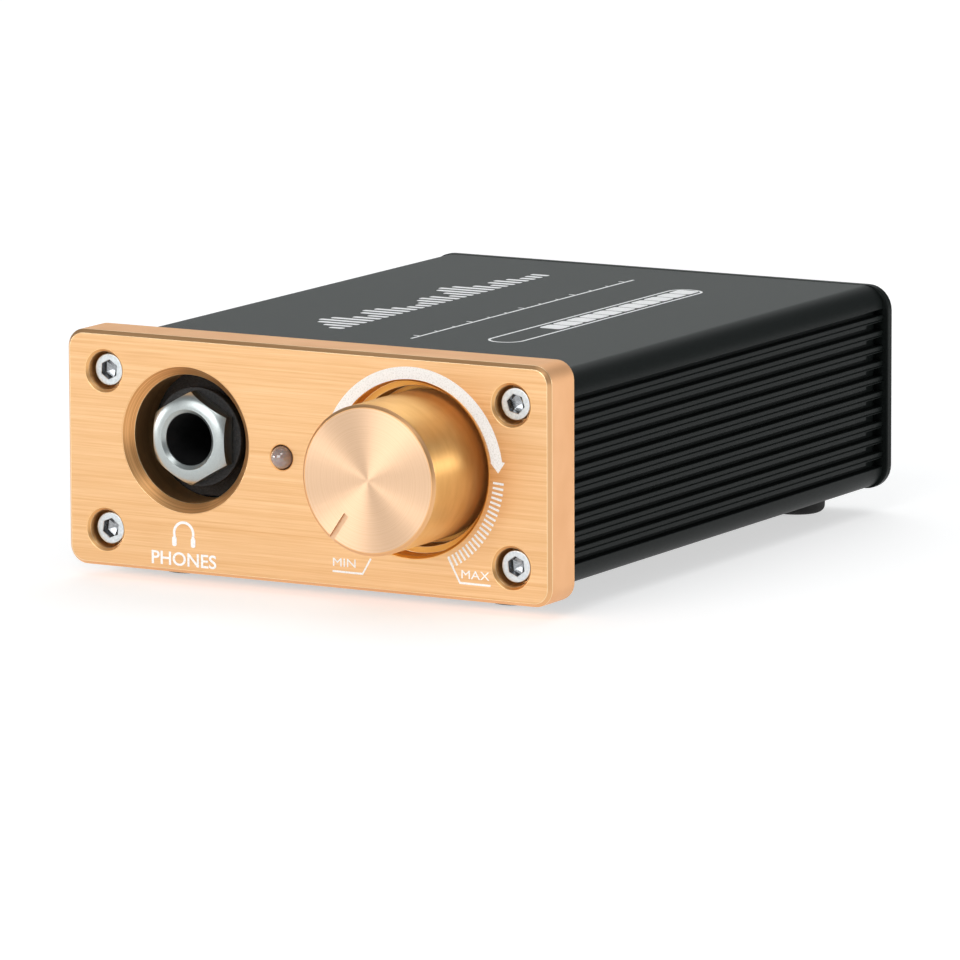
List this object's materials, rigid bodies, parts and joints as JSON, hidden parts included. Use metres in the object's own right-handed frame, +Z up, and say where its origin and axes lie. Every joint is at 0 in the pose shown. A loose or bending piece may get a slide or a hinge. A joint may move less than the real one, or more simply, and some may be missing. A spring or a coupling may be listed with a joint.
{
  "type": "headphone amplifier",
  "caption": "Desktop headphone amplifier: grooved black case, thick gold front panel with a sunk headphone socket, lamp and volume knob, connectors at the back.",
  "frame": {"origin": "on the surface that the feet stand on, under the middle of the object's box", "axes": "+X to the right seen from the front, +Y from the front panel to the rear connectors, +Z up"},
  "size_m": [0.072, 0.1158, 0.0329],
  "materials": {
    "gold_anodised": "brushed and anodised gold",
    "black_anodised": "fine satin black anodised",
    "screw_steel": "satin zinc plated",
    "chrome_plate": "polished nickel plate",
    "tinned_metal": "tinned",
    "brass_metal": "turned",
    "black_plastic": "moulded, slightly rough",
    "white_plastic": "moulded",
    "red_plastic": "moulded",
    "foot_rubber": "matt moulded rubber",
    "lamp_lens": "milky diffused",
    "board_laminate": "solder resist over glass laminate",
    "capacitor_sleeve": "shrunk sleeve",
    "film_plastic": "moulded box",
    "print_white": "screen printed ink"
  },
  "bodies": {
    "chassis": {"case_tube": "black_anodised", "front_panel": "gold_anodised", "rear_panel": "black_anodised", "front_screw_upper_left": "screw_steel", "front_screw_upper_right": "screw_steel", "front_screw_lower_left": "screw_steel", "front_screw_lower_right": "screw_steel", "rear_screw_upper_left": "screw_steel", "rear_screw_upper_right": "screw_steel", "rear_screw_lower_left": "screw_steel", "rear_screw_lower_right": "screw_steel", "foot_front_left": "foot_rubber", "foot_front_right": "foot_rubber", "foot_rear_left": "foot_rubber", "foot_rear_right": "foot_rubber", "jack_body": "black_plastic", "jack_bush": "black_plastic", "jack_washer": "black_plastic", "jack_nut": "chrome_plate", "jack_sleeve_contact": "tinned_metal", "jack_ring_contact": "tinned_metal", "jack_tip_contact": "tinned_metal", "volume_pot_body": "tinned_metal", "volume_pot_bushing": "brass_metal", "volume_pot_nut": "tinned_metal", "volume_pot_washer": "tinned_metal", "led_lens": "lamp_lens", "led_lead_anode": "tinned_metal", "led_lead_cathode": "tinned_metal", "phono_shell_left": "chrome_plate", "phono_insulator_left": "white_plastic", "phono_contact_left": "brass_metal", "phono_shell_right": "chrome_plate", "phono_insulator_right": "red_plastic", "phono_contact_right": "brass_metal", "phono_housing": "black_plastic", "power_socket_body": "black_plastic", "power_socket_pin": "tinned_metal", "switch_body": "black_plastic", "switch_bushing": "chrome_plate", "switch_nut": "chrome_plate", "circuit_board": "board_laminate", "capacitor_1": "capacitor_sleeve", "capacitor_2": "capacitor_sleeve", "capacitor_3": "capacitor_sleeve", "capacitor_4": "capacitor_sleeve", "film_capacitor_left": "film_plastic", "film_capacitor_right": "film_plastic", "amplifier_chip_socket": "black_plastic", "amplifier_chip": "black_plastic", "output_transistor_left": "black_plastic", "output_transistor_right": "black_plastic", "voltage_regulator": "black_plastic", "regulator_heat_sink": "black_anodised"},
    "volume": {"volume_knob": "gold_anodised", "knob_set_screw": "screw_steel", "volume_pot_shaft": "tinned_metal"},
    "power_lever": {"switch_lever": "chrome_plate"}
  },
  "joints": [
    {"name": "volume_turn", "type": "hinge", "parent": "chassis", "child": "volume", "pos_m": [0.01546, -0.04736, 0.01833], "axis": [0, 1, 0], "range_deg": [0, 300]},
    {"name": "power_switch", "type": "hinge", "parent": "chassis", "child": "power_lever", "pos_m": [0.008, 0.04964, 0.01679], "axis": [1, 0, 0], "range_deg": [0, 25]}
  ]
}
